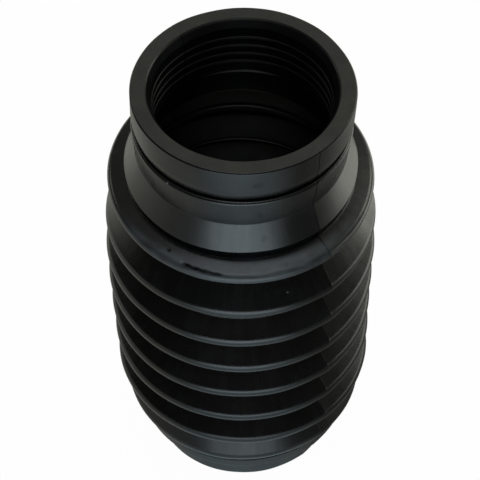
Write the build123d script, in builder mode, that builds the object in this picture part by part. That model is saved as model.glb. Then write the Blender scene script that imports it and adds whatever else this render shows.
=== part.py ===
from build123d import *
from math import asin, atan2, cos, hypot, sin
import os

# Rubber bellows boot, moulded in one piece. Lengths are in millimetres.
# The axis is Z, the boot stands on its lower cuff at z = 0, and the wide collar is on top.
# Heights add up from the floor, so a longer fold stack lifts the whole collar.
# Radii add up from the collar's bore, so a wider tube widens the neck, the folds and the cuff.

# Collar bore, with sealing ribs
bore_radius = 24.4
bore_length = 18.9
mouth_flare = 1.0
mouth_depth = 2.6
mouth_bevel = 0.45
rib_count = 4
rib_pitch = 2.9
rib_depth = 6.0
rib_height = 0.3
rib_width = 1.0
rib_land = 0.3

# Collar: a bead on top, and a slot for a panel edge or a wire clamp between it and the lip
slot_wall = 2.5
slot_depth = 3.1
slot_width = 0.8
lip_reach = 0.1
bead_wall_height = 7.0
bead_round_height = 4.0
bead_round_inset = 0.8
bead_chamfer = 0.3

# Neck and cone above the shoulder fold
neck_step = 2.4
neck_height = 9.5
cone_flare = 3.2
cone_height = 8.0
cone_undercut = 0.8
cone_foot_overhang = 0.6
neck_valley_rise = 4.3
neck_valley_width = 2.6
neck_root_wall = 4.0
neck_bore_drop = 1.3

# Shoulder fold, the ring under the cone, with a nearly flat top and a tighter round
shoulder_reach = 4.9
shoulder_step = 13.6
shoulder_round = 1.8
shoulder_valley_width = 3.2

# Folds, from the lowest up
fold_count = 7
fold_pitch = 13.0
fold_reach = 1.9
fold_depth = 4.9
crest_round = 2.8
round_share = 0.98  # largest round of a crest, as a share of one that uses up its flank
valley_width = 1.2
wall = 1.8
root_wall = 2.9
lowest_crest_rise = 4.8
lowest_crest_inset = 2.0
highest_crest_inset = 0.6

# Lower cuff, with a groove for a band clamp under its flange
flange_inset = 3.0
flange_reach = 5.7
flange_underside_rise = 1.7
flange_thickness = 3.4
flange_valley_depth = 1.7
flange_valley_rise = 1.9
cuff_wall = 3.6
cuff_bore_height = 12.6
cuff_groove_width = 5.6
cuff_bead_height = 4.6
cuff_bead_rise = 1.2
entry_chamfer = 1.0

# Heights that follow from the sizes above
groove_top = cuff_bead_height + cuff_groove_width
flange_low = groove_top + flange_underside_rise
flange_top = flange_low + flange_thickness
flange_valley_height = flange_top + flange_valley_rise
lowest_crest_height = flange_valley_height + lowest_crest_rise
highest_crest_height = lowest_crest_height + (fold_count - 1) * fold_pitch
shoulder_height = highest_crest_height + shoulder_step
neck_valley_height = shoulder_height + neck_valley_rise
cone_foot = neck_valley_height + neck_valley_width / 2 + cone_undercut
neck_foot = cone_foot + cone_height
lip_height = neck_foot + neck_height
bead_foot = lip_height + slot_width
bead_wall_foot = bead_foot + bead_round_height
top = bead_wall_foot + bead_wall_height

# Radii of the collar, the neck and the cone
rib_radius = bore_radius - rib_height
mouth_radius = bore_radius + mouth_flare
slot_radius = bore_radius + slot_wall
bead_radius = slot_radius + slot_depth
neck_foot_radius = slot_radius + neck_step
cone_foot_radius = neck_foot_radius + cone_flare
neck_valley_radius = cone_foot_radius - cone_foot_overhang
neck_bore_radius = neck_valley_radius - neck_root_wall

# Radii of the folds and the lower cuff
shoulder_radius = cone_foot_radius + shoulder_reach
crest_radius = shoulder_radius + fold_reach
lowest_crest_radius = crest_radius - lowest_crest_inset
highest_crest_radius = crest_radius - highest_crest_inset
flange_radius = lowest_crest_radius - flange_inset
flange_valley_radius = flange_radius - flange_valley_depth
cuff_groove_radius = flange_radius - flange_reach
cuff_bead_radius = cuff_groove_radius + cuff_bead_rise
cuff_bore_radius = cuff_groove_radius - cuff_wall


class Valley:
    """The gap under a fold: its height, outside radius, width of floor and wall behind it."""

    def __init__(self, height, radius, width, behind):
        self.height = height
        self.radius = radius
        self.low = (radius, height - width / 2)
        self.high = (radius, height + width / 2)
        self.ridge = (radius - behind, height)


class Crest:
    """One fold between two valleys: straight flanks that run into the round of its crest."""

    def __init__(self, height, radius, rounding, under, over):
        self.height = height
        self.radius = radius
        self.under = under
        self.over = over
        corners = (under.high, over.low)
        self.rounding = min([rounding] + [self.largest_round(corner) for corner in corners])
        self.inside = (radius - wall, height)

    def largest_round(self, corner):
        """Largest round that still leaves a straight flank down to this valley corner."""
        depth = self.radius - corner[0]
        rise = abs(self.height - corner[1])
        return round_share * (depth**2 + rise**2) / (2 * depth)

    def touch(self, corner):
        """Point where the flank from this valley corner runs into the round."""
        side = 1 if corner[1] > self.height else -1
        run = self.radius - self.rounding - corner[0]
        rise = abs(self.height - corner[1])
        lean = atan2(run, rise) + asin(self.rounding / hypot(run, rise))
        return (
            self.radius - self.rounding + self.rounding * cos(lean),
            self.height + side * self.rounding * sin(lean),
        )


# The folds as height, radius and round of each crest, from the lowest up to the shoulder
crest_sizes = [
    (lowest_crest_height + i * fold_pitch, crest_radius, crest_round) for i in range(fold_count)
]
crest_sizes[0] = (lowest_crest_height, lowest_crest_radius, crest_round)
crest_sizes[-1] = (highest_crest_height, highest_crest_radius, crest_round)
crest_sizes.append((shoulder_height, shoulder_radius, shoulder_round))

# The gap under the shoulder is wider, so that its underside turns in as steeply as the folds do
gap_widths = [valley_width] * (fold_count - 1) + [shoulder_valley_width]
valleys = [Valley(flange_valley_height, flange_valley_radius, valley_width, root_wall)]
for under, over, width in zip(crest_sizes, crest_sizes[1:], gap_widths):
    middle = (under[0] + over[0] + width - valley_width) / 2
    valleys.append(Valley(middle, crest_radius - fold_depth, width, root_wall))
valleys.append(
    Valley(neck_valley_height, neck_valley_radius, neck_valley_width, neck_root_wall)
)
crests = [
    Crest(height, radius, rounding, valleys[i], valleys[i + 1])
    for i, (height, radius, rounding) in enumerate(crest_sizes)
]

# Heights inside the collar, from the ribs down to the ridge behind the neck's valley
rib_heights = [top - rib_depth - i * rib_pitch for i in range(rib_count)]
bore_foot = top - bore_length
neck_bore_top = bore_foot - (neck_bore_radius - bore_radius)
neck_ridge = (neck_bore_radius, neck_valley_height - neck_bore_drop)

with BuildPart() as bellows_boot:
    with BuildSketch(Plane.XZ):
        with BuildLine():
            # Outside of the lower cuff, from its end face up to the first valley
            Polyline(
                (cuff_bore_radius + entry_chamfer, 0),
                (cuff_bead_radius, 0),
                (cuff_bead_radius, cuff_bead_height),
                (cuff_groove_radius, cuff_bead_height),
                (cuff_groove_radius, groove_top),
                (flange_radius, flange_low),
                (flange_radius, flange_top),
                valleys[0].low,
            )

            # Outside of the folds: the flat floor of a valley, a flank, the round and a flank
            for crest in crests:
                Polyline(crest.under.low, crest.under.high, crest.touch(crest.under.high))
                ThreePointArc(
                    crest.touch(crest.under.high),
                    (crest.radius, crest.height),
                    crest.touch(crest.over.low),
                )
                Line(crest.touch(crest.over.low), crest.over.low)

            # Outside of the cone and the neck, the lip and the slot above it
            Polyline(
                valleys[-1].low,
                valleys[-1].high,
                (cone_foot_radius, cone_foot),
                (neck_foot_radius, neck_foot),
                (bead_radius + lip_reach, lip_height),
                (slot_radius, lip_height),
                (slot_radius, bead_foot),
                (bead_radius - bead_round_inset, bead_foot),
            )

            # Collar bead, round at its foot, with the flat rim and the mouth of the bore on top
            TangentArc(
                (bead_radius, bead_wall_foot),
                (bead_radius - bead_round_inset, bead_foot),
                tangent=(0, -1),
            )
            Polyline(
                (bead_radius, bead_wall_foot),
                (bead_radius, top - bead_chamfer),
                (bead_radius - bead_chamfer, top),
                (mouth_radius + mouth_bevel, top),
                (mouth_radius, top - mouth_bevel),
                (bore_radius, top - mouth_depth),
                (bore_radius, rib_heights[0] + rib_width / 2),
            )

            # Sealing ribs in the collar's bore, each with a narrow crest and plain wall under it
            wall_feet = [height + rib_width / 2 for height in rib_heights[1:]] + [bore_foot]
            for height, wall_foot in zip(rib_heights, wall_feet):
                Polyline(
                    (bore_radius, height + rib_width / 2),
                    (rib_radius, height + rib_land / 2),
                    (rib_radius, height - rib_land / 2),
                    (bore_radius, height - rib_width / 2),
                    (bore_radius, wall_foot),
                )

            # Inside of the neck, then of the folds, with a ridge behind each valley
            Polyline(
                (bore_radius, bore_foot),
                (neck_bore_radius, neck_bore_top),
                neck_ridge,
            )
            ridges = [valley.ridge for valley in valleys[:-1]] + [neck_ridge]
            for crest, under, over in zip(crests, ridges, ridges[1:]):
                Polyline(under, crest.inside, over)

            # Inside of the lower cuff
            Polyline(
                valleys[0].ridge,
                (cuff_bore_radius, cuff_bore_height),
                (cuff_bore_radius, entry_chamfer),
                (cuff_bore_radius + entry_chamfer, 0),
            )
        make_face()
    revolve(axis=Axis.Z)

bellows_boot.part.label = "bellows_boot"
os.makedirs("parts", exist_ok=True)
export_step(bellows_boot.part, "parts/bellows_boot.step")
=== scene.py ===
import logging
import math
from dataclasses import dataclass, field
from enum import Enum
from typing import Any

import bpy
import numpy as np
from mathutils import Matrix, Vector


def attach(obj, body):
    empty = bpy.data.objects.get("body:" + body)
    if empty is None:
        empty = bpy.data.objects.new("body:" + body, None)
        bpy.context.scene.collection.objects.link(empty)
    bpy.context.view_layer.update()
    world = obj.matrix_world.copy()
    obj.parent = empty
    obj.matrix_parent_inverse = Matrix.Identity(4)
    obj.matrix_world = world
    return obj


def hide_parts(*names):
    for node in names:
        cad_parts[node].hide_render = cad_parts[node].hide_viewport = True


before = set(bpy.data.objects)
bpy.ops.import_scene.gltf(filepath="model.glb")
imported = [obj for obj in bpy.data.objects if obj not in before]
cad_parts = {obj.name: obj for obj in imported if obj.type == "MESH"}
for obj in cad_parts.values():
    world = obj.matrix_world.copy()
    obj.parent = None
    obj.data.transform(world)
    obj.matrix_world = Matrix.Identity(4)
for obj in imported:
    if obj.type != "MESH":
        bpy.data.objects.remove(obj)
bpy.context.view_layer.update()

# The boot is one moulding, so it is one mesh, turned round its axis from one section.
# Section sizes are in millimetres, and become metres when the mesh is made.
# Azimuths are in degrees from +X; the camera stands at -90, and the boot's right side is at 0.

MM = 0.001
log = logging.getLogger("rubber_bellows_boot")

# Short names for the types that come up often
Array = np.ndarray
Tree = bpy.types.NodeTree
Socket = bpy.types.NodeSocket
Span = tuple[float, float]
Triple = tuple[float, float, float]


class Finish(Enum):
    """The surfaces of the moulding, in the order of its material slots."""

    SKIN = 0
    RIM = 1
    BORE = 2


def linear(hex_colour: str, alpha: float = 1.0) -> tuple[float, float, float, float]:
    """Turns an sRGB hex colour to linear values.

    Args:
        hex_colour: the colour, as "#0B0C0D".
        alpha: its opacity.

    Returns:
        Red, green, blue and alpha, linear.
    """
    levels = [int(hex_colour[i : i + 2], 16) / 255 for i in (1, 3, 5)]
    red, green, blue = [
        level / 12.92 if level <= 0.04045 else ((level + 0.055) / 1.055) ** 2.4
        for level in levels
    ]
    return (red, green, blue, alpha)


def add_node(
    tree: Tree, kind: str, inputs: dict[Any, Any] | None = None, **settings: Any
) -> bpy.types.Node:
    """Adds one node, with its settings, its values and its links.

    Args:
        tree: the node tree.
        kind: the node's type without its "ShaderNode", such as "Math".
        inputs: for each input socket, its value, or the output socket that feeds it.
        settings: the node's own properties.

    Returns:
        The new node.
    """
    node = tree.nodes.new(f"ShaderNode{kind}")
    for name, value in settings.items():
        setattr(node, name, value)
    for key, value in (inputs or {}).items():
        if isinstance(value, Socket):
            tree.links.new(value, node.inputs[key])
        else:
            node.inputs[key].default_value = value
    return node

def wrapped(angle: Any, turn: float = 2 * math.pi) -> Any:
    """Brings angles to within half a turn of zero."""
    return (angle + turn / 2) % turn - turn / 2


def add_object(name: str, data: Any) -> bpy.types.Object:
    """Puts a mesh, a light or a camera into the scene.

    Args:
        name: the object's name.
        data: the mesh, the light or the camera.

    Returns:
        The new object.
    """
    made = bpy.data.objects.new(name, data)
    bpy.context.scene.collection.objects.link(made)
    return made


def empty_tree(owner: Any) -> Tree:
    """Turns the nodes of a material or a world on, and clears them.

    Args:
        owner: the material or the world.

    Returns:
        Its empty node tree.
    """
    owner.use_nodes = True
    owner.node_tree.nodes.clear()
    return owner.node_tree


@dataclass(frozen=True)
class Corner:
    """One corner of the section: where it is, its rounding, and the finish of the run after it."""

    radius: float
    height: float
    rounding: float
    finish: Finish = Finish.SKIN


@dataclass(frozen=True)
class LowerCuff:
    """The narrow lower end: an end bead, the groove for a band clamp and a flange."""

    bore_radius: float = 25.0
    bore_height: float = 12.6
    entry_chamfer: float = 1.0
    bead_radius: float = 29.8
    bead_height: float = 4.6
    groove_radius: float = 28.6
    groove_top: float = 10.2
    flange_radius: float = 34.3
    flange_low: float = 11.9
    flange_top: float = 15.3

    def outside(self) -> list[Corner]:
        """Corners from the end face up to the flange's top edge."""
        return [
            Corner(self.bore_radius + self.entry_chamfer, 0.0, 0.15),
            Corner(self.bead_radius, 0.0, 0.35),
            Corner(self.bead_radius, self.bead_height, 0.4),
            Corner(self.groove_radius, self.bead_height, 0.25),
            Corner(self.groove_radius, self.groove_top, 0.4),
            Corner(self.flange_radius, self.flange_low, 0.5),
            Corner(self.flange_radius, self.flange_top, 0.7),
        ]

    def inside(self) -> list[Corner]:
        """Corners of the cuff's bore, from its top edge down to the entry chamfer."""
        return [
            Corner(self.bore_radius, self.bore_height, 0.6, Finish.BORE),
            Corner(self.bore_radius, self.entry_chamfer, 0.3, Finish.BORE),
        ]


@dataclass(frozen=True)
class FoldStack:
    """The seven folds and the shoulder fold on top of them, with the valleys between them."""

    count: int = 7
    pitch: float = 13.0
    lowest_height: float = 22.0
    lowest_radius: float = 37.3
    radius: float = 39.3
    highest_radius: float = 38.7
    crest_round: float = 2.8
    round_share: float = 0.98
    shoulder_height: float = 113.6
    shoulder_radius: float = 37.4
    shoulder_round: float = 2.0
    foot_valley_height: float = 17.2
    foot_valley_radius: float = 32.6
    valley_radius: float = 34.4
    valley_width: float = 1.2
    shoulder_valley: Triple = (108.1, 33.0, 1.0)
    neck_valley_height: float = 117.9
    neck_valley_radius: float = 31.9
    neck_valley_width: float = 2.6
    neck_ridge_radius: float = 27.9
    neck_ridge_drop: float = 1.3
    wall: float = 1.8
    root_wall: float = 2.9
    valley_soften: float = 0.42
    inside_soften: float = 1.1

    def crests(self) -> list[Triple]:
        """Lists the crests, from the lowest fold up to the shoulder.

        Returns:
            Height, radius and round of each.
        """
        rows = [
            (self.lowest_height + i * self.pitch, self.radius, self.crest_round)
            for i in range(self.count)
        ]
        rows[0] = (self.lowest_height, self.lowest_radius, self.crest_round)
        rows[-1] = (rows[-1][0], self.highest_radius, self.crest_round)
        rows.append((self.shoulder_height, self.shoulder_radius, self.shoulder_round))
        return rows

    def valleys(self) -> list[Triple]:
        """Lists the valleys, from the one over the flange up to the neck's.

        Returns:
            Height, radius and width of each.
        """
        rows = [(self.foot_valley_height, self.foot_valley_radius, self.valley_width)]
        heights = [crest[0] for crest in self.crests()]
        for under, over in zip(heights[:-1], heights[1:-1]):
            rows.append(((under + over) / 2, self.valley_radius, self.valley_width))
        rows.append(self.shoulder_valley)
        rows.append((self.neck_valley_height, self.neck_valley_radius, self.neck_valley_width))
        return rows

    def crest_corner(self, crest: Triple, low: Span, high: Span) -> Corner:
        """Finds where the two flanks of a fold would meet if its crest weren't round.

        Args:
            crest: height, radius and round of the crest.
            low: radius and height of the valley corner under it.
            high: radius and height of the valley corner over it.

        Returns:
            The corner, whose rounding gives back the crest's round.
        """
        height, radius, rounding = crest
        for corner in (low, high):
            depth, rise = radius - corner[0], abs(height - corner[1])
            rounding = min(rounding, self.round_share * (depth**2 + rise**2) / (2 * depth))
        normals = []
        for corner, side in ((low, -1), (high, 1)):
            run, rise = radius - rounding - corner[0], abs(height - corner[1])
            lean = math.atan2(run, rise) + math.asin(rounding / math.hypot(run, rise))
            normals.append((math.cos(lean), side * math.sin(lean)))
        (ax, ay), (bx, by) = normals
        reach = rounding / (1 + ax * bx + ay * by)
        return Corner(radius - rounding + reach * (ax + bx), height + reach * (ay + by), rounding)

    def outside(self) -> list[Corner]:
        """Works out the folds' outside.

        Returns:
            Its corners, from the lowest valley up to the neck's valley.
        """
        corners: list[Corner] = []
        crests, valleys = self.crests(), self.valleys()
        ends = [((r, z - width / 2), (r, z + width / 2)) for z, r, width in valleys]
        for i, (low, high) in enumerate(ends):
            corners.append(Corner(*low, self.valley_soften))
            corners.append(Corner(*high, self.valley_soften))
            if i < len(crests):
                corners.append(self.crest_corner(crests[i], high, ends[i + 1][0]))
        return corners

    def inside(self) -> list[Corner]:
        """Works out the folds' inside.

        Returns:
            Its corners, from the ridge behind the neck down to the cuff.
        """
        soft = self.inside_soften
        valleys = self.valleys()
        rows = [(self.neck_ridge_radius, self.neck_valley_height - self.neck_ridge_drop)]
        for (height, radius, _), valley in zip(reversed(self.crests()), reversed(valleys[:-1])):
            rows.append((radius - self.wall, height))
            rows.append((valley[1] - self.root_wall, valley[0]))
        return [Corner(radius, height, soft, Finish.BORE) for radius, height in rows]


@dataclass(frozen=True)
class NeckAndCone:
    """The cone that flares out over the shoulder, and the neck that leads up to the collar."""

    cone_foot_radius: float = 32.5
    cone_foot: float = 120.0
    neck_foot_radius: float = 29.3
    neck_foot: float = 128.0
    lip_radius: float = 30.1
    lip_height: float = 137.5
    bore_foot: float = 130.4
    bore_radius: float = 24.4
    hollow_radius: float = 27.9
    hollow_top: float = 126.9

    def outside(self) -> list[Corner]:
        """Corners from the cone's foot up to the lip under the slot."""
        return [
            Corner(self.cone_foot_radius, self.cone_foot, 0.3),
            Corner(self.neck_foot_radius, self.neck_foot, 0.9),
            Corner(self.lip_radius, self.lip_height, 0.85),
        ]

    def inside(self) -> list[Corner]:
        """Corners from the foot of the collar's bore out to the neck's wider hollow."""
        return [
            Corner(self.bore_radius, self.bore_foot, 1.6, Finish.BORE),
            Corner(self.hollow_radius, self.hollow_top, 1.6, Finish.BORE),
        ]


@dataclass(frozen=True)
class Collar:
    """The collar on top: a slot for a panel edge, a bead, a flat rim and a ribbed bore."""

    top: float = 149.3
    slot_radius: float = 26.9
    slot_low: float = 137.5
    slot_high: float = 138.3
    bead_radius: float = 30.0
    bead_foot_radius: float = 29.2
    bead_round_height: float = 4.0
    bead_chamfer: float = 0.3
    mouth_radius: float = 25.4
    mouth_bevel: float = 0.45
    mouth_depth: float = 2.6
    bore_radius: float = 24.4
    rib_count: int = 4
    rib_pitch: float = 2.9
    rib_depth: float = 6.0
    rib_height: float = 0.3
    rib_width: float = 1.0
    rib_round: float = 0.3
    rib_land: float = 0.3

    def outside(self) -> list[Corner]:
        """Works out the collar's outside.

        Returns:
            Its corners, from the slot's floor up to the rim's outer edge.
        """
        inset = self.bead_radius - self.bead_foot_radius
        rounding = (inset**2 + self.bead_round_height**2) / (2 * inset)
        start = math.asin(self.bead_round_height / rounding)
        bead_corner = self.slot_high + inset / math.tan(start)
        return [
            Corner(self.slot_radius, self.slot_low, 0.25),
            Corner(self.slot_radius, self.slot_high, 0.25),
            Corner(self.bead_foot_radius, self.slot_high, 0.2),
            Corner(self.bead_radius, bead_corner, rounding),
            Corner(self.bead_radius, self.top - self.bead_chamfer, 0.16),
            Corner(self.bead_radius - self.bead_chamfer, self.top, 0.16, Finish.RIM),
        ]

    def inside(self) -> list[Corner]:
        """Works out the collar's bore.

        Returns:
            Its corners, from the rim's inner edge down the mouth and over the sealing ribs.
        """
        corners = [
            Corner(self.mouth_radius + self.mouth_bevel, self.top, 0.15, Finish.BORE),
            Corner(self.mouth_radius, self.top - self.mouth_bevel, 0.25, Finish.BORE),
            Corner(self.bore_radius, self.top - self.mouth_depth, 0.6, Finish.BORE),
        ]
        for i in range(self.rib_count):
            height = self.top - self.rib_depth - i * self.rib_pitch
            crest = self.bore_radius - self.rib_height
            for radius, rise in (
                (self.bore_radius, self.rib_width / 2),
                (crest, self.rib_land / 2),
                (crest, -self.rib_land / 2),
                (self.bore_radius, -self.rib_width / 2),
            ):
                corners.append(Corner(radius, height + rise, self.rib_round, Finish.BORE))
        return corners


@dataclass
class Section:
    """The closed section that is turned round the axis, sampled with exact tangents."""

    corners: list[Corner]
    longest_run: float = 2.3
    arc_step: float = math.radians(16.0)
    long_setback: float = 1.5
    long_share: float = 0.99
    short_share: float = 0.45
    place: Array = field(init=False)
    tangent: Array = field(init=False)
    finish: list[Finish] = field(init=False)

    def __post_init__(self) -> None:
        """Samples every run and every round."""
        spots = np.array([(c.radius, c.height) for c in self.corners])
        after = np.roll(spots, -1, axis=0) - spots
        length = np.hypot(after[:, 0], after[:, 1])
        heading = after / length[:, None]
        points: list[Span] = []
        tangents: list[Span] = []
        finishes: list[Finish] = []
        setbacks = [self.setback(i, heading, length) for i in range(len(self.corners))]
        for i, corner in enumerate(self.corners):
            into, out = heading[i - 1], heading[i]
            turn = math.atan2(into[0] * out[1] - into[1] * out[0], float(into @ out))
            steps = max(2, math.ceil(abs(turn) / self.arc_step))
            start = spots[i] - into * setbacks[i]
            reach = setbacks[i] / math.tan(abs(turn) / 2)
            side = math.copysign(1.0, turn)
            centre = start + reach * side * np.array((-into[1], into[0]))
            for k in range(steps + 1):
                angle = turn * k / steps
                c, s = math.cos(angle), math.sin(angle)
                aim = np.array((into[0] * c - into[1] * s, into[0] * s + into[1] * c))
                points.append(tuple(centre - reach * side * np.array((-aim[1], aim[0]))))
                tangents.append(tuple(aim))
                last = k == steps
                finishes.append(corner.finish if last else self.corners[i - 1].finish)
            following = (i + 1) % len(self.corners)
            run = length[i] - setbacks[i] - setbacks[following]
            pieces = max(1, math.ceil(length[i] / self.longest_run))
            for k in range(1, pieces):
                points.append(tuple(spots[i] + out * (setbacks[i] + run * k / pieces)))
                tangents.append(tuple(out))
                finishes.append(corner.finish)
        self.place = np.array(points)
        self.tangent = np.array(tangents)
        self.finish = finishes

    def setback(self, i: int, heading: Array, length: Array) -> float:
        """Finds how far from a corner its round starts.

        Args:
            i: the corner's index.
            heading: unit directions of the runs.
            length: lengths of the runs.

        Returns:
            The distance in millimetres, which leaves both runs some straight length.
        """
        into, out = heading[i - 1], heading[i]
        turn = abs(math.atan2(into[0] * out[1] - into[1] * out[0], float(into @ out)))
        wanted = self.corners[i].rounding * math.tan(turn / 2)
        room = min(length[i - 1], length[i])
        share = self.long_share if wanted > self.long_setback else self.short_share
        return min(wanted, room * share)


@dataclass(frozen=True)
class PartingLine:
    """The line where the two halves of the mould met, which runs down both sides of the boot.

    It is a low ridge, with a thin flash on it up to the shoulder and a shallow groove from
    there on, and it leaves ragged scraps of flash in the slot.
    """

    azimuths: Span = (-49.3, 130.7)
    ridge_heights: tuple[float, ...] = (0.0, 108.0, 122.0, 138.0, 149.3)
    ridges: tuple[float, ...] = (0.3, 0.3, 0.22, 0.05, 0.02)
    ridge_reach: float = 4.5
    flash_heights: tuple[float, ...] = (0.0, 112.0, 121.0, 149.3)
    flashes: tuple[float, ...] = (0.035, 0.02, -0.05, -0.05)
    flash_width: float = 0.13
    flash_swing: float = 0.5
    flash_waves: Span = (1.7, 0.61)
    slot_radii: Span = (26.0, 27.3)
    slot_heights: Span = (137.4, 138.4)
    slot_flash: float = 2.3
    slot_flash_reach: float = 3.6
    scrap_level: float = 0.5
    scrap_swing: float = 0.3
    scrap_waves: Span = (5.3, 11.9)
    column_offsets: tuple[float, ...] = (0.09, 0.2, 0.36, 0.6, 0.9, 1.25, 1.65, 2.1, 2.6, 3.2, 4.0)

    def arc(self, azimuth: Array, radius: Array, line: float) -> Array:
        """Distance along the ring from one of the two lines, in millimetres."""
        return wrapped(azimuth - math.radians(line)) * radius

    def in_slot(self, radius: Array, height: Array) -> Array:
        """Tells which points are on the slot's floor."""
        (near, far), (low, high) = self.slot_radii, self.slot_heights
        return (radius > near) & (radius < far) & (height > low) & (height < high)

    def columns(self, ring_radius: float) -> list[float]:
        """Places extra mesh columns close to both lines.

        Args:
            ring_radius: the radius at which their spacing is true, in millimetres.

        Returns:
            Their azimuths in radians.
        """
        rows = [0.0] + [side * offset for offset in self.column_offsets for side in (-1, 1)]
        return [math.radians(line) + offset / ring_radius for line in self.azimuths for offset in rows]

    def relief(self, radius: Array, height: Array, azimuth: Array) -> Array:
        """Works out how high the line stands over the true surface.

        Args:
            radius: the points' distances from the axis, in millimetres.
            height: their heights, in millimetres.
            azimuth: their azimuths, in radians.

        Returns:
            The heights of ridge and flash in millimetres, below zero in the groove.
        """
        (long, short), (coarse, fine) = self.flash_waves, self.scrap_waves
        in_slot = self.in_slot(radius, height)
        total = np.zeros_like(radius)
        for i, line in enumerate(self.azimuths):
            arc = self.arc(azimuth, radius, line)
            ridge = np.interp(height, self.ridge_heights, self.ridges)
            total += ridge * np.exp(-np.abs(arc) / self.ridge_reach)
            waves = np.sin(height * long + i) * np.sin(height * short + 2 * i)
            flash = np.interp(height, self.flash_heights, self.flashes)
            uneven = 1 + self.flash_swing * waves
            total += flash * uneven * np.exp(-((arc / self.flash_width) ** 2))
            waves = np.sin(arc * coarse + i) + np.sin(arc * fine + 1.3)
            ragged = self.scrap_level + self.scrap_swing * waves
            reach = np.clip(1 - (arc / self.slot_flash_reach) ** 2, 0, 1)
            total += np.where(in_slot, self.slot_flash * np.clip(ragged, 0, 1) * reach, 0.0)
        return total


@dataclass(frozen=True)
class MouldedWaviness:
    """The slight unevenness of a soft moulding, which makes its reflections swim."""

    # Each wave's height in millimetres, turns round the ring, climb and start
    waves: tuple[tuple[float, int, float, float], ...] = (
        (0.07, 3, 0.045, 1.1),
        (0.042, 5, -0.11, 0.3),
        (0.022, 9, 0.21, 0.7),
        (0.0176, 14, -0.33, 2.1),
    )
    ripple: float = 0.004
    ripple_waves: tuple[Triple, Triple] = ((27, 0.9, 0.0), (19, -0.6, 0.4))

    def relief(self, radius: Array, height: Array, azimuth: Array) -> Array:
        """Works out how high the waves stand over the true surface.

        Args:
            radius: the points' distances from the axis, in millimetres.
            height: their heights, in millimetres.
            azimuth: their azimuths, in radians.

        Returns:
            The heights in millimetres.
        """
        total = np.zeros_like(radius)
        for size, turns, climb, start in self.waves:
            total += size * np.sin(turns * azimuth + climb * height + start)
        ripple = np.full_like(radius, self.ripple)
        for turns, climb, start in self.ripple_waves:
            ripple *= np.sin(turns * azimuth + climb * height + start)
        return total + ripple


@dataclass(frozen=True)
class SoftShape:
    """How the soft moulding stands off its true shape: its sway, its shoulder's tilt, its rim."""

    sway_heights: tuple[float, ...] = (10, 22, 35, 48, 61, 74, 87, 100, 113, 125, 135, 149.3)
    sway_offsets: tuple[float, ...] = (
        0.5, 0.35, 0.15, -0.15, -0.42, -0.5, -0.54, -0.58, -0.55, -0.55, -0.3, 0.0
    )
    tilt_heights: tuple[float, ...] = (102.0, 110.0, 115.5, 124.0)
    tilt_shares: tuple[float, ...] = (0.0, 1.0, 1.0, 0.0)
    tilt_lift: float = 1.33
    tilt_back: float = 0.0355
    tilt_right: float = -0.0127
    bulge: float = 0.1
    back_bulge: float = 0.42
    back_azimuth: float = 72.0
    back_reach: float = 36.0
    bulge_heights: Span = (132.0, 146.0)
    spans: tuple[float, ...] = (-3.0, -1.5, 0.0, 1.5, 3.0)

    def place(self, radius: Array, height: Array, azimuth: Array) -> Array:
        """Places points of the true shape where the soft moulding has them.

        Args:
            radius: their distances from the axis, in millimetres.
            height: their heights, in millimetres.
            azimuth: their azimuths, in radians.

        Returns:
            Their places in millimetres, with x, y and z on the last axis.
        """
        turn = wrapped(np.degrees(azimuth) - self.back_azimuth, 360.0)
        rim = self.bulge + self.back_bulge * np.exp(-((turn / self.back_reach) ** 2))
        low, high = self.bulge_heights
        grown = radius + rim * np.clip((height - low) / (high - low), 0, 1) ** 2
        x, y = grown * np.cos(azimuth), grown * np.sin(azimuth)

        # Both are averaged over some height, so that no bend shows as an edge
        sway, tilt = np.zeros_like(height), np.zeros_like(height)
        for span in self.spans:
            sway += np.interp(height + 2 * span, self.sway_heights, self.sway_offsets)
            tilt += np.interp(height + span / 2, self.tilt_heights, self.tilt_shares)
        lift = self.tilt_lift + self.tilt_back * y + self.tilt_right * x
        count = len(self.spans)
        return np.stack([x + sway / count, y, height + lift * tilt / count], axis=-1)


@dataclass(frozen=True)
class Mark:
    """A small mark on the skin, a blemish or painted shade in a crease: where it is, how large it is and
    how it reads.
    """

    azimuth: float
    radius: float
    height: float
    size: float
    colour: str
    roughness: float
    stretch: float = 1.0
    gloss: float = 0.5


@dataclass(frozen=True)
class RoundTone:
    """Brightness that changes softly round the boot, set at a few bearings.

    Bearings are in degrees from the camera's side, and grow to the right.
    """

    bearings: tuple[float, ...]
    levels: tuple[float, ...]
    brightest: float = 4.0

    def socket(self, tree: Tree, bearing: Socket) -> Socket:
        """Adds the ramp.

        Args:
            tree: the node tree.
            bearing: the bearing, from 0 at -180 degrees to 1 at 180 degrees.

        Returns:
            The socket that gives the brightness.
        """
        ramp = add_node(tree, "ValToRGB", {0: bearing})
        steps = ramp.color_ramp.elements
        while len(steps) < len(self.bearings):
            steps.new(0.5)
        for step, turn, level in zip(steps, self.bearings, self.levels):
            step.position = (turn + 180) / 360
            step.color = (level / self.brightest,) * 3 + (1.0,)
        return add_node(
            tree, "Math", {0: ramp.outputs[0], 1: self.brightest}, operation="MULTIPLY"
        ).outputs[0]


def bearing_of(tree: Tree, place: Socket) -> tuple[Socket, bpy.types.Node]:
    """Adds the nodes that find in which direction from the boot a point lies.

    Args:
        tree: the node tree.
        place: the point or the direction.

    Returns:
        The bearing from the camera's side, as 0 to 1 for -180 to 180 degrees, and x, y and z.
    """
    parts = add_node(tree, "SeparateXYZ", {0: place})
    ahead = add_node(tree, "Math", {0: parts.outputs["Y"], 1: -1.0}, operation="MULTIPLY")
    turn = add_node(tree, "Math", {0: parts.outputs["X"], 1: ahead.outputs[0]}, operation="ARCTAN2")
    share = add_node(tree, "MapRange", {"Value": turn.outputs[0], 1: -math.pi, 2: math.pi})
    return share.outputs[0], parts


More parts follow.
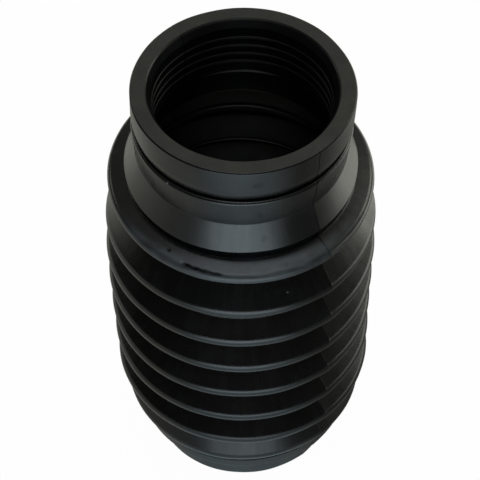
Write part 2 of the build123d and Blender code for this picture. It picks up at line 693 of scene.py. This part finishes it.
def ray_kinds(tree: Tree) -> tuple[Socket, Socket]:
    """Adds the nodes that tell which kind of ray meets a surface.

    Args:
        tree: the node tree.

    Returns:
        Whether the ray is the camera's, straight or through something clear, and whether it
        is a reflection in something glossy.
    """
    rays = add_node(tree, "LightPath")
    seen = add_node(
        tree,
        "Math",
        {0: rays.outputs["Is Camera Ray"], 1: rays.outputs["Is Transmission Ray"]},
        operation="MAXIMUM",
    ).outputs[0]
    return seen, rays.outputs["Is Glossy Ray"]


def faded(
    tree: Tree,
    share: Socket | float,
    fades: tuple[tuple[Socket, Span, float], ...],
    curve: str = "SMOOTHSTEP",
) -> Socket:
    """Fades a share in or out over some distances.

    Args:
        tree: the node tree.
        share: the share, from 0 to 1.
        fades: for each fade the distance that it goes by, where it starts and ends in
            millimetres, and what it leaves at its end: 1 if it fades in, 0 if it fades out.
        curve: how each fade runs.

    Returns:
        The share times all of the fades.
    """
    for distance, (start, end), left in fades:
        fade = add_node(
            tree,
            "MapRange",
            {"Value": distance, 1: start * MM, 2: end * MM, 3: 1.0 - left, 4: left},
            interpolation_type=curve,
        ).outputs[0]
        share = add_node(tree, "Math", {0: share, 1: fade}, operation="MULTIPLY").outputs[0]
    return share


@dataclass(frozen=True)
class Surface:
    """How a surface looks. A field is a value, or the socket that gives one."""

    colour: Any = None
    roughness: Any = None
    gloss: Any = None

    def under(self, tree: Tree, share: Socket, cover: "Surface") -> "Surface":
        """Lays another surface over this one.

        Args:
            tree: the node tree.
            share: how much of this surface it covers, from 0 to 1.
            cover: the one on top, with a hex colour. What it has no value for stays as it is.

        Returns:
            What the two make together.
        """
        look = dict(vars(self))
        for name, top in vars(cover).items():
            if top is None:
                continue
            kind, first, result = ("RGBA", 6, 2) if name == "colour" else ("FLOAT", 2, 0)
            top = linear(top) if name == "colour" else top
            look[name] = add_node(
                tree, "Mix", {0: share, first: look[name], first + 1: top}, data_type=kind
            ).outputs[result]
        return Surface(**look)

    def shade(self, tree: Tree, ior: float, reliefs: tuple[tuple[Socket, float], ...]) -> None:
        """Shades the surface and gives it to the material.

        Args:
            tree: the material's node tree.
            ior: the rubber's index of refraction.
            reliefs: the pattern of each fine relief, and its height in millimetres.
        """
        normal: dict[str, Socket] = {}
        for pattern, height in reliefs:
            inputs = {"Strength": 1.0, "Distance": height * MM, "Height": pattern}
            normal = {"Normal": add_node(tree, "Bump", {**inputs, **normal}).outputs[0]}
        look = {"Base Color": self.colour, "Roughness": self.roughness}
        look |= {"IOR": ior, "Specular IOR Level": self.gloss}
        shader = add_node(tree, "BsdfPrincipled", {**look, **normal})
        add_node(tree, "OutputMaterial", {"Surface": shader.outputs[0]})


@dataclass(frozen=True)
class MouldedRubberSkin:
    """Black carbon-filled rubber, vulcanised in a polished steel mould.

    To the eye it is a near-black with a satin gloss: soft-edged cool reflections, broken a
    little by flow streaks along the pull of the mould, faint greasy bloom and stray dust.
    The shoulder's front is rubbed rougher and greyer in streaks, the grey being a painted highlight in
    front; the corner over it has painted shade, its gloss taken away in front; and from the shoulder up the
    parting line's thin crease has painted shade, a line without gloss.
    """

    name: str = "moulded_black_rubber_skin"
    colour: str = "#0A0B0C"
    roughness: float = 0.27
    roughness_swing: float = 0.1
    gloss: float = 0.5
    ior: float = 1.5
    sheen_limits: Span = (0.6, 1.4)
    bloom_colour: str = "#15171A"
    bloom_limits: Span = (0.5, 0.72)
    bloom_most: float = 0.7
    blotch_mm: float = 9.0
    grain_mm: float = 0.45
    grain_height_mm: float = 0.0022
    streak_mm: float = 2.2
    streak_height_mm: float = 0.014
    streak_ring_mm: float = 35.0
    streak_climb: float = 4.0
    ring_streak_mm: float = 5.0
    ring_squeeze: float = 6.0
    # The rubbed shoulder's greyer colour is a painted highlight, strongest in front
    painted_highlight_colour: str = "#565D63"
    rubbed_roughness: float = 0.45
    rubbed_highlight_low_mm: Span = (111.0, 111.8)
    rubbed_highlight_high_mm: Span = (116.0, 116.7)
    rubbed_highlight_limits: Span = (0.36, 0.64)
    rubbed_highlight_least: float = 0.45
    # How far round the boot the painted highlight and the painted shade reach: most on the camera's side
    painted_light_round: RoundTone = RoundTone(
        (-180, -75, -40, -5, 18, 42, 70, 180), (0.0, 0.12, 0.65, 1.0, 0.85, 0.3, 0.08, 0.0), 1.0
    )
    # The corner under the cone: painted shade, its gloss taken away
    painted_shade_radius_mm: Span = (32.2, 33.5)
    painted_shade_high_mm: Span = (119.4, 120.2)
    painted_shade_low_mm: Span = (114.0, 115.0)
    painted_shade_gloss: float = 0.04
    seam_across: Triple = (0.7581, 0.6521, -0.0178)
    seam_shift_mm: float = 2.66
    seam_waver_mm: float = 1.3
    seam_edge_mm: Span = (0.1, 0.3)
    seam_foot_mm: Span = (112.4, 113.2)
    # Painted shade along the parting line's crease: a thin line without gloss
    seam_shade_gloss: float = 0.05
    dust_colour: str = "#6E7072"
    dust_roughness: float = 0.9
    dust_empty: float = 0.72
    dust_spacing_mm: float = 5.0
    dust_size_mm: float = 0.11
    marks: tuple[Mark, ...] = ()
    mark_core: float = 0.4
    mark_limits: Span = (0.3, 0.55)
    mark_least: float = 0.55

    def places(self, tree: Tree) -> dict[str, Socket]:
        """Adds what the layers go by: where a point is, and the patterns there.

        Args:
            tree: the node tree.

        Returns:
            The sockets by name. The front is how far a point faces the camera's side.
        """
        place = add_node(tree, "TexCoord").outputs["Object"]
        bearing, parts = bearing_of(tree, place)
        across, rise, flat = [
            add_node(tree, "VectorMath", {0: place, 1: scale}, operation="MULTIPLY").outputs[0]
            for scale in ((1, 1, 0), (0, 0, self.streak_climb), (1, 1, self.ring_squeeze))
        ]
        spread = add_node(tree, "VectorMath", {0: across}, operation="LENGTH")
        spoke = add_node(tree, "VectorMath", {0: across}, operation="NORMALIZE")

        # Flow streaks run down the section, so they vary round the ring and hardly along it
        down = add_node(tree, "VectorMath", {0: spoke.outputs[0], 1: rise}, operation="ADD").outputs[0]
        at = {
            "place": place,
            "height": parts.outputs["Z"],
            "spread": spread.outputs["Value"],
            "front": self.painted_light_round.socket(tree, bearing),
        }
        for name, spot, scale, detail, roughness in (
            ("streaks", down, self.streak_ring_mm / self.streak_mm, 3.0, 0.5),
            ("ring_streaks", flat, 1 / (self.ring_streak_mm * MM), 4.0, 0.5),
            ("blotches", place, 1 / (self.blotch_mm * MM), 5.0, 0.6),
            ("grain", place, 1 / (self.grain_mm * MM), 2.0, 0.5),
        ):
            at[name] = add_node(
                tree,
                "TexNoise",
                {"Vector": spot, "Scale": scale, "Detail": detail, "Roughness": roughness},
            ).outputs["Fac"]
        sheen = add_node(tree, "Math", {0: at["streaks"], 1: at["blotches"]}, operation="ADD").outputs[0]
        swing = self.roughness_swing / 2
        for name, value, (low, high), least, most, curve in (
            ("bloom", at["blotches"], self.bloom_limits, 0.0, self.bloom_most, "SMOOTHSTEP"),
            ("roughness", sheen, self.sheen_limits, self.roughness - swing,
             self.roughness + swing, "LINEAR"),
            ("rubbed_highlight_streaks", at["ring_streaks"], self.rubbed_highlight_limits, self.rubbed_highlight_least, 1.0, "LINEAR"),
            ("broken", at["grain"], self.mark_limits, self.mark_least, 1.0, "LINEAR"),
        ):
            at[name] = add_node(
                tree,
                "MapRange",
                {"Value": value, 1: low, 2: high, 3: least, 4: most},
                interpolation_type=curve,
            ).outputs[0]
        return at

    def dust(self, tree: Tree, at: dict[str, Socket]) -> Socket:
        """Adds specks under a third of a millimetre, which only a few of the cells hold.

        Args:
            tree: the node tree.
            at: the sockets that the layers go by.

        Returns:
            1 on a speck, and 0 elsewhere.
        """
        spacing = self.dust_spacing_mm
        cells = add_node(tree, "TexVoronoi", {"Vector": at["place"], "Scale": 1 / (spacing * MM)})
        chance = add_node(tree, "SeparateColor", {0: cells.outputs["Color"]}).outputs[0]
        size = add_node(
            tree,
            "MapRange",
            {"Value": chance, 1: self.dust_empty, 2: 1.0, 3: 0.0, 4: self.dust_size_mm / spacing},
        ).outputs[0]
        return add_node(
            tree, "Math", {0: cells.outputs["Distance"], 1: size}, operation="LESS_THAN"
        ).outputs[0]

    def crease(self, tree: Tree, at: dict[str, Socket]) -> Socket:
        """Adds painted shade along the parting line's thin crease, from the collar down to the shoulder.

        Args:
            tree: the node tree.
            at: the sockets that the layers go by.

        Returns:
            How much of a point the crease takes up, from 0 to 1.
        """
        off_plane = add_node(
            tree,
            "VectorMath",
            {0: at["place"], 1: self.seam_across},
            operation="DOT_PRODUCT",
        ).outputs["Value"]
        shift = (self.seam_shift_mm - self.seam_waver_mm / 2) * MM
        waver = add_node(
            tree,
            "Math",
            {0: at["blotches"], 1: self.seam_waver_mm * MM, 2: shift},
            operation="MULTIPLY_ADD",
        ).outputs[0]
        for inputs, operation in (({1: waver}, "ADD"), ({}, "ABSOLUTE")):
            off_plane = add_node(tree, "Math", {0: off_plane, **inputs}, operation=operation).outputs[0]
        edges = ((off_plane, self.seam_edge_mm, 0.0), (at["height"], self.seam_foot_mm, 1.0))
        return faded(tree, 1.0, edges, "LINEAR")

    def mark(self, tree: Tree, at: dict[str, Socket], mark: Mark) -> Socket:
        """Adds one mark, broken up by the grain.

        Args:
            tree: the node tree.
            at: the sockets that the layers go by.
            mark: the mark.

        Returns:
            How much of a point the mark covers, from 0 to 1.
        """
        angle = math.radians(mark.azimuth)
        reach = mark.radius * MM
        spot = (reach * math.cos(angle), reach * math.sin(angle), mark.height * MM)
        offset = add_node(tree, "VectorMath", {0: at["place"], 1: spot}, operation="SUBTRACT").outputs[0]
        offset = add_node(
            tree, "VectorRotate", {"Vector": offset, "Axis": (0, 0, 1), "Angle": -angle}
        ).outputs[0]
        squeeze = (1.0, 1 / mark.stretch, 1.0)
        offset = add_node(tree, "VectorMath", {0: offset, 1: squeeze}, operation="MULTIPLY").outputs[0]
        distance = add_node(tree, "VectorMath", {0: offset}, operation="LENGTH").outputs["Value"]
        edge = (mark.size * self.mark_core, mark.size)
        return faded(tree, at["broken"], ((distance, edge, 0.0),))

    def build(self) -> bpy.types.Material:
        """Makes the material, one layer over the other.

        Returns:
            The material.
        """
        material = bpy.data.materials.new(self.name)
        tree = empty_tree(material)
        at = self.places(tree)

        # The shoulder's front is rubbed rougher and carries a painted highlight, a greyer colour, in
        # streaks along the ring
        low, high = (at["height"], self.rubbed_highlight_low_mm, 1.0), (at["height"], self.rubbed_highlight_high_mm, 0.0)
        rubbed_highlight = faded(tree, at["front"], (low, high))
        rubbed_highlight = add_node(tree, "Math", {0: rubbed_highlight, 1: at["rubbed_highlight_streaks"]}, operation="MULTIPLY").outputs[0]

        # Painted shade: the corner under the cone loses its gloss, in front only
        out = (at["spread"], self.painted_shade_radius_mm, 0.0)
        low, high = (at["height"], self.painted_shade_low_mm, 1.0), (at["height"], self.painted_shade_high_mm, 0.0)
        painted_corner_shade = faded(tree, at["front"], (out, low, high))

        covers = [
            (at["bloom"], Surface(self.bloom_colour)),
            (rubbed_highlight, Surface(self.painted_highlight_colour, self.rubbed_roughness)),
            (self.dust(tree, at), Surface(self.dust_colour, self.dust_roughness)),
            (painted_corner_shade, Surface(gloss=self.painted_shade_gloss)),
            (self.crease(tree, at), Surface(gloss=self.seam_shade_gloss)),
        ]
        for mark in self.marks:
            cover = Surface(mark.colour, mark.roughness, mark.gloss)
            covers.append((self.mark(tree, at, mark), cover))
        surface = Surface(linear(self.colour), at["roughness"], self.gloss)
        for share, cover in covers:
            surface = surface.under(tree, share, cover)
        streaks = (at["streaks"], self.streak_height_mm)
        surface.shade(tree, self.ior, (streaks, (at["grain"], self.grain_height_mm)))
        return material


@dataclass(frozen=True)
class TrimmedRubberFace:
    """The rim's flat top face, where the moulding was cut from its sprue and ground flat.

    The eye sees it matt and faintly brown beside the glossy skin, with a fine even grit.
    """

    name: str = "trimmed_black_rubber_face"
    colour: str = "#272723"
    pale_colour: str = "#373730"
    pale_limits: Span = (0.12, 0.42)
    roughness: float = 0.72
    gloss: float = 0.5
    ior: float = 1.5
    grit_mm: float = 0.5
    grit_height_mm: float = 0.03
    cloud_mm: float = 7.0

    def build(self) -> bpy.types.Material:
        """Makes the material and its nodes.

        Returns:
            The material.
        """
        material = bpy.data.materials.new(self.name)
        tree = empty_tree(material)
        place = add_node(tree, "TexCoord").outputs["Object"]
        grit, cloud = [
            add_node(
                tree,
                "TexNoise",
                {"Vector": place, "Scale": 1 / (size * MM), "Detail": detail},
            ).outputs["Fac"]
            for size, detail in ((self.grit_mm, 3.0), (self.cloud_mm, 4.0))
        ]
        blend = add_node(tree, "Math", {0: grit, 1: cloud}, operation="MULTIPLY").outputs[0]
        low, high = self.pale_limits
        pale = add_node(tree, "MapRange", {"Value": blend, 1: low, 2: high, 3: 0.0, 4: 1.0}).outputs[0]
        surface = Surface(linear(self.colour), self.roughness, self.gloss)
        surface = surface.under(tree, pale, Surface(self.pale_colour))
        surface.shade(tree, self.ior, ((grit, self.grit_height_mm),))
        return material


@dataclass
class BellowsBoot:
    """The whole moulding: its section from the four sub-assemblies, and its three finishes."""

    cuff: LowerCuff = LowerCuff()
    folds: FoldStack = FoldStack()
    neck: NeckAndCone = NeckAndCone()
    collar: Collar = Collar()
    parting: PartingLine = PartingLine()
    waviness: MouldedWaviness = MouldedWaviness()
    softness: SoftShape = SoftShape()
    base_columns: int = 128
    column_room: float = 1.1
    slope_step: float = 0.02
    steepest: float = 1.5
    turn_step: float = 0.05

    def section(self) -> Section:
        """The whole section, from the lower end face up the outside and down the inside."""
        return Section(
            self.cuff.outside()
            + self.folds.outside()
            + self.neck.outside()
            + self.collar.outside()
            + self.collar.inside()
            + self.neck.inside()
            + self.folds.inside()
            + self.cuff.inside()
        )

    def azimuths(self) -> Array:
        """Places the mesh's columns, closer together beside the parting lines.

        Returns:
            Their azimuths in radians, in rising order.
        """
        fine = [a % (2 * math.pi) for a in self.parting.columns(self.folds.radius)]
        plain = [2 * math.pi * i / self.base_columns for i in range(self.base_columns)]
        room = self.column_room / self.folds.radius
        plain = [a for a in plain if min(abs(wrapped(a - b)) for b in fine) > room]
        return np.array(sorted(fine + plain))

    def relief(self, radius: Array, height: Array, azimuth: Array) -> Array:
        """All that stands over the true surface, in millimetres."""
        line = self.parting.relief(radius, height, azimuth)
        return line + self.waviness.relief(radius, height, azimuth)

    def build(self) -> bpy.types.Object:
        """Makes the mesh, with exact normals, and dresses it.

        Returns:
            The boot.
        """
        section, azimuth = self.section(), self.azimuths()
        rows, columns = len(section.place), len(azimuth)
        radius = np.repeat(section.place[:, 0:1], columns, axis=1)
        height = np.repeat(section.place[:, 1:2], columns, axis=1)
        along_r, along_z = section.tangent[:, 0:1], section.tangent[:, 1:2]
        angle = np.repeat(azimuth[None, :], rows, axis=0)

        # The relief's slopes along the section and round the ring lean the normals
        step = self.slope_step
        lift = self.relief(radius, height, angle)
        slope_along = (self.relief(radius + step * along_r, height + step * along_z, angle) - lift) / step
        slope_round = (
            self.relief(radius, height, angle + step / radius)
            - self.relief(radius, height, angle - step / radius)
        ) / (2 * step)
        slope_along = np.where(self.parting.in_slot(radius, height), 0.0, slope_along)
        slope_round = np.clip(slope_round, -self.steepest, self.steepest)

        normal_r = along_z - slope_along * along_r
        normal_z = -along_r - slope_along * along_z
        normal_x = normal_r * np.cos(angle) + slope_round * np.sin(angle)
        normal_y = normal_r * np.sin(angle) - slope_round * np.cos(angle)
        normals = np.stack([normal_x, normal_y, normal_z + 0 * normal_x], axis=-1)
        normals /= np.linalg.norm(normals, axis=-1, keepdims=True)

        placed_r = radius + lift * along_z
        placed_z = np.maximum(height - lift * along_r, 0.0)
        spots = self.softness.place(placed_r, placed_z, angle)
        normals = self.turned(normals, placed_r, placed_z, angle)

        mesh = bpy.data.meshes.new("bellows_boot_moulding")
        index = np.arange(rows * columns).reshape(rows, columns)
        up, beside = np.roll(index, -1, axis=0), np.roll(index, -1, axis=1)
        corner = np.roll(up, -1, axis=1)
        quads = np.stack([index, beside, corner, up], axis=-1).reshape(-1, 4)
        mesh.from_pydata((spots.reshape(-1, 3) * MM).tolist(), [], quads.tolist())
        mesh.polygons.foreach_set("use_smooth", [True] * len(quads))
        slots = np.repeat([finish.value for finish in section.finish], columns)
        mesh.polygons.foreach_set("material_index", slots.astype(np.int32))
        self.unwrap(mesh, section, azimuth)
        mesh.normals_split_custom_set_from_vertices(normals.reshape(-1, 3).tolist())
        for finish in self.finishes():
            mesh.materials.append(finish.build())
        boot = add_object("bellows_boot_moulding", mesh)
        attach(boot, "root")
        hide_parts("bellows_boot")
        sizes = (rows, columns, 2 * len(quads))
        log.info("%s: %d section points, %d columns, %d triangles", boot.name, *sizes)
        return boot

    def turned(self, normals: Array, radius: Array, height: Array, azimuth: Array) -> Array:
        """Turns the true shape's normals as the soft shape turns its surface.

        Args:
            normals: unit normals of the true shape.
            radius: the points' distances from the axis, in millimetres.
            height: their heights, in millimetres.
            azimuth: their azimuths, in radians.

        Returns:
            Unit normals of the soft shape.
        """
        step, place = self.turn_step, self.softness.place
        here = place(radius, height, azimuth)
        out = (place(radius + step, height, azimuth) - here) / step
        up = (place(radius, height + step, azimuth) - here) / step
        beside = (place(radius, height, azimuth + step / radius) - here) / step
        c, s = np.cos(azimuth)[..., None], np.sin(azimuth)[..., None]
        out_part = normals[..., 0:1] * c + normals[..., 1:2] * s
        beside_part = normals[..., 1:2] * c - normals[..., 0:1] * s
        moved = (
            out_part * np.cross(beside, up)
            + beside_part * np.cross(up, out)
            + normals[..., 2:3] * np.cross(out, beside)
        )
        return moved / np.linalg.norm(moved, axis=-1, keepdims=True)

    def unwrap(self, mesh: bpy.types.Mesh, section: Section, azimuth: Array) -> None:
        """Lays the surface out flat: round the ring across, and along the section up.

        Args:
            mesh: the boot's mesh.
            section: its section.
            azimuth: its columns' azimuths, in radians.
        """
        rows, columns = len(section.place), len(azimuth)
        steps = np.linalg.norm(np.roll(section.place, -1, axis=0) - section.place, axis=1)
        along = np.concatenate([[0.0], np.cumsum(steps)]) / steps.sum()
        across = np.concatenate([azimuth, [azimuth[0] + 2 * math.pi]]) / (2 * math.pi)
        row, column = np.meshgrid(np.arange(rows), np.arange(columns), indexing="ij")
        u = np.stack([across[column], across[column + 1], across[column + 1], across[column]], -1)
        v = np.stack([along[row], along[row], along[row + 1], along[row + 1]], -1)
        layout = mesh.uv_layers.new(name="section_layout")
        layout.data.foreach_set("uv", np.stack([u, v], -1).astype(np.float32).ravel())

    def finishes(self) -> list[Any]:
        """Lists the three finishes, with the marks that the photo shows on the skin.

        Returns:
            The finishes, in the order of the Finish enum.
        """
        skin_marks = (
            Mark(-130.9, 30.3, 137.2, 0.5, "#8E9496", 0.6),
            Mark(-82.7, 30.0, 144.5, 1.5, "#050505", 0.5, 1.5, 0.34),
            Mark(-81.1, 29.7, 131.3, 1.2, "#050505", 0.5, 0.8, 0.38),
            Mark(-81.6, 29.7, 132.6, 0.7, "#050505", 0.5, 0.7, 0.33),
            Mark(-79.3, 31.0, 123.9, 1.0, "#060606", 0.32, 1.0, 0.45),
            Mark(-80.0, 31.3, 123.2, 0.6, "#060606", 0.32, 1.4, 0.43),
            Mark(-116.8, 36.2, 115.6, 0.55, "#6A7074", 0.5, 1.8),
            Mark(-118.3, 36.6, 115.4, 0.35, "#7E8486", 0.5, 1.2),
            Mark(-129.5, 35.4, 115.9, 1.2, "#25282A", 0.6, 1.4),
            # The next five marks draw a crease across the shoulder's left as a dark line without gloss:
            # painted shade in the crease
            Mark(-124.3, 34.8, 116.0, 0.9, "#020202", 0.6, 1.3, 0.05),
            Mark(-114.0, 36.4, 115.6, 0.7, "#020202", 0.6, 3.0, 0.06),
            Mark(-110.0, 36.5, 115.5, 0.75, "#020202", 0.6, 3.6, 0.04),
            Mark(-105.5, 36.6, 115.4, 0.8, "#020202", 0.6, 3.6, 0.1),
            Mark(-101.0, 36.7, 115.3, 0.7, "#020202", 0.6, 3.6, 0.22),
            Mark(-70.0, 35.8, 104.1, 0.35, "#9A9E9E", 0.6),
            Mark(-52.6, 29.4, 138.7, 0.65, "#030303", 0.6, 2.6, 0.05),
            Mark(-48.0, 29.5, 138.9, 0.8, "#030303", 0.6, 1.6, 0.05),
            Mark(-50.6, 30.0, 137.2, 0.6, "#030303", 0.6, 2.2, 0.05),
        )
        return [
            MouldedRubberSkin(marks=skin_marks),
            TrimmedRubberFace(),
            MouldedRubberSkin(
                name="moulded_black_rubber_bore",
                roughness=0.34,
                streak_height_mm=0.012,
                dust_colour="#55524E",
            ),
        ]


@dataclass(frozen=True)
class Lamp:
    """One soft studio light: an evenly bright panel that lights the boot and isn't seen."""

    name: str
    place: Triple
    aim: Triple
    width: float
    depth: float
    brightness: float
    colour: str = "#FFFFFF"

    def build(self) -> bpy.types.Object:
        """Makes the lamp, whose power follows from how bright its panel is.

        Returns:
            The lamp.
        """
        light = bpy.data.lights.new(self.name, "AREA")
        light.shape = "RECTANGLE"
        light.size, light.size_y = self.width, self.depth
        light.energy = self.brightness * math.pi * self.width * self.depth
        light.color = linear(self.colour)[:3]
        lamp = add_object(self.name, light)
        lamp.location = self.place
        lamp.rotation_mode = "QUATERNION"
        aim = Vector(self.aim) - Vector(self.place)
        lamp.rotation_quaternion = aim.to_track_quat("-Z", "Y")
        lamp.visible_camera = False
        log.info("%s: %.2f W", self.name, light.energy)
        return lamp


@dataclass(frozen=True)
class Studio:
    """A plain white floor in a plain room, and soft lamps.

    In the rubber's gloss the room is brighter on some bearings than on others, and the floor glows as
    painted light, with a painted shadow of the boot near it.
    """

    floor_size: float = 6.0
    floor_colour: str = "#F7F7F5"
    camera_share: float = 0.98
    overhead: RoundTone = RoundTone((-180, -65, -35, 35, 65, 180), (0.22, 0.2, 0.42, 0.42, 0.24, 0.22), 1.0)
    overhead_rise: Span = (0.6, 0.82)
    room: RoundTone = RoundTone(
        (-180, -140, -105, -80, 60, 80, 100, 140, 180),
        (0.4, 0.12, 0.04, 0.03, 0.04, 0.14, 0.24, 0.3, 0.4),
    )
    # Painted light on the floor near the boot, seen only in the gloss, with a painted shadow of the boot on
    # its right
    painted_floor_light_near: RoundTone = RoundTone(
        (-180, -120, -75, -40, 0, 30, 55, 75, 100, 180),
        (0.28, 0.42, 0.38, 0.46, 0.74, 0.53, 0.15, 0.17, 0.22, 0.22),
    )
    # Painted light on the floor farther out, seen only in the gloss
    painted_floor_light_far: RoundTone = RoundTone(
        (-180, -140, -110, -60, -35, -20, 0, 20, 38, 62, 80, 105, 140, 180),
        (0.15, 1.2, 0.7, 0.4, 0.5, 2.5, 3.2, 2.5, 0.2, 0.08, 0.35, 2.2, 1.8, 0.15),
    )
    cool: RoundTone = RoundTone((-180, -62, -22, 22, 58, 180), (0, 0.05, 1, 1, 0.1, 0), 1.0)
    cool_colour: str = "#E2F7FF"
    warm_colour: str = "#FFFFF2"
    near_reach: float = 0.13
    far_reach: float = 0.32
    lamps: tuple[Lamp, ...] = (
        Lamp("overhead_softbox", (0.0, -0.06, 0.87), (0.0, -0.06, 0.0), 0.32, 0.75, 2.1, "#EDF7FF"),
        Lamp("front_strip", (0.0, -0.9, 0.08), (0.0, 0.0, 0.11), 0.8, 0.15, 1.6, "#F4F9FF"),
        Lamp("front_fill", (0.0, -0.9, 0.23), (0.0, 0.0, 0.12), 0.8, 0.15, 0.15, "#F2F8FF"),
        Lamp("right_strip", (0.9, 0.05, 0.065), (0.0, 0.0, 0.11), 0.7, 0.12, 2.0, "#FFFFF4"),
        Lamp("right_window", (0.62, 0.36, 0.55), (0.0, 0.0, 0.11), 0.35, 0.35, 3.6, "#FFFFF0"),
        Lamp("left_window", (-0.62, 0.36, 0.5), (0.0, 0.0, 0.11), 0.16, 0.2, 2.4, "#FFFFF4"),
        Lamp("left_strip", (-0.9, 0.08, 0.065), (0.0, 0.0, 0.11), 0.6, 0.12, 0.2, "#FFFFF4"),
    )

    def build(self) -> None:
        """Makes the floor, the surroundings and the lamps."""
        self.floor()
        self.surroundings()
        for lamp in self.lamps:
            lamp.build()

    def floor(self) -> bpy.types.Object:
        """Makes the floor, which is white to the camera, and which glows in the gloss as painted light
        toned by bearing, with a painted shadow of the boot near it.

        Returns:
            The floor.
        """
        half = self.floor_size / 2
        mesh = bpy.data.meshes.new("studio_floor")
        corners = [(-half, -half, 0), (half, -half, 0), (half, half, 0), (-half, half, 0)]
        mesh.from_pydata(corners, [], [(0, 1, 2, 3)])
        material = bpy.data.materials.new("white_paper_with_painted_light")
        tree = empty_tree(material)
        seen, glossy = ray_kinds(tree)
        seen = add_node(tree, "Math", {0: seen, 1: self.camera_share}, operation="MULTIPLY").outputs[0]
        paper = add_node(tree, "BsdfDiffuse", {"Color": linear(self.floor_colour)})
        white = add_node(tree, "Emission", {"Color": (1, 1, 1, 1), "Strength": 1.0})
        mixed = add_node(tree, "MixShader", {0: seen, 1: paper.outputs[0], 2: white.outputs[0]})

        # Painted light: in the rubber's gloss the paper glows, its brightness and tint changing with the
        # bearing, and near the boot it is darker to the boot's right as a painted shadow
        place = add_node(tree, "TexCoord").outputs["Object"]
        bearing, _ = bearing_of(tree, place)
        reach = add_node(tree, "VectorMath", {0: place}, operation="LENGTH")
        far = add_node(
            tree,
            "MapRange",
            {"Value": reach.outputs["Value"], 1: self.near_reach, 2: self.far_reach},
            interpolation_type="SMOOTHSTEP",
        ).outputs[0]
        level = add_node(
            tree,
            "Mix",
            {0: far, 2: self.painted_floor_light_near.socket(tree, bearing), 3: self.painted_floor_light_far.socket(tree, bearing)},
            data_type="FLOAT",
        ).outputs[0]
        warm = Surface(linear(self.warm_colour))
        tint = warm.under(tree, self.cool.socket(tree, bearing), Surface(self.cool_colour)).colour
        sheen = add_node(tree, "Emission", {"Color": tint, "Strength": level})
        mixed = add_node(tree, "MixShader", {0: glossy, 1: mixed.outputs[0], 2: sheen.outputs[0]})
        add_node(tree, "OutputMaterial", {"Surface": mixed.outputs[0]})
        mesh.materials.append(material)
        floor = add_object("studio_floor", mesh)
        log.info("studio_floor: %.1f m across", self.floor_size)
        return floor

    def surroundings(self) -> None:
        """Makes the world, which is white to the camera and lights the boot by bearing."""
        world = bpy.data.worlds.new("studio_surroundings")
        bpy.context.scene.world = world
        tree = empty_tree(world)
        way = add_node(tree, "TexCoord").outputs["Generated"]
        bearing, parts = bearing_of(tree, way)
        high = add_node(
            tree,
            "MapRange",
            {"Value": parts.outputs["Z"], 1: self.overhead_rise[0], 2: self.overhead_rise[1]},
            interpolation_type="SMOOTHSTEP",
        ).outputs[0]
        level = add_node(
            tree,
            "Mix",
            {0: high, 2: self.room.socket(tree, bearing), 3: self.overhead.socket(tree, bearing)},
            data_type="FLOAT",
        ).outputs[0]
        room = add_node(tree, "Background", {"Color": linear(self.warm_colour), "Strength": level})
        white = add_node(tree, "Background", {"Color": (1, 1, 1, 1), "Strength": 1.0})
        seen, _ = ray_kinds(tree)
        mixed = add_node(tree, "MixShader", {0: seen, 1: room.outputs[0], 2: white.outputs[0]})
        add_node(tree, "OutputWorld", {"Surface": mixed.outputs[0]})


@dataclass(frozen=True)
class PhotoCamera:
    """The camera at the photograph's viewing angle, fitted to the rings of the boot."""

    target: Triple = (-0.0006, -0.0513, 0.1493)
    elevation: float = 51.8
    distance: float = 0.3897
    roll: float = 0.17
    lens: float = 120.15
    sensor: float = 36.0
    half_pixel: float = 0.5 / 480

    def build(self) -> bpy.types.Object:
        """Makes the camera and hands it to the scene.

        Returns:
            The camera.
        """
        camera = bpy.data.cameras.new("photo_camera")
        camera.lens = self.lens
        camera.sensor_width = self.sensor
        camera.sensor_fit = "HORIZONTAL"
        camera.shift_x, camera.shift_y = -self.half_pixel, self.half_pixel
        camera.clip_start, camera.clip_end = 0.01, 20.0
        holder = add_object("photo_camera", camera)
        e, turn = math.radians(self.elevation), math.radians(self.roll)
        ahead = Vector((0.0, math.cos(e), -math.sin(e)))
        right, up = Vector((1.0, 0.0, 0.0)), Vector((0.0, math.sin(e), math.cos(e)))
        axis_x = math.cos(turn) * right + math.sin(turn) * up
        axis_y = -math.sin(turn) * right + math.cos(turn) * up
        frame_axes = Matrix((axis_x, axis_y, -ahead)).transposed().to_4x4()
        frame_axes.translation = Vector(self.target) - self.distance * ahead
        holder.matrix_world = frame_axes
        bpy.context.scene.camera = holder
        log.info("photo_camera: %.1f mm lens, %.1f degrees up", self.lens, self.elevation)
        return holder


def main() -> None:
    """Builds the boot, the studio and the camera."""
    logging.basicConfig(level=logging.INFO, format="%(name)s: %(message)s")
    bpy.context.scene.view_settings.view_transform = "Standard"
    BellowsBoot().build()
    Studio().build()
    PhotoCamera().build()
    bpy.context.view_layer.update()


if __name__ == "__main__":
    main()
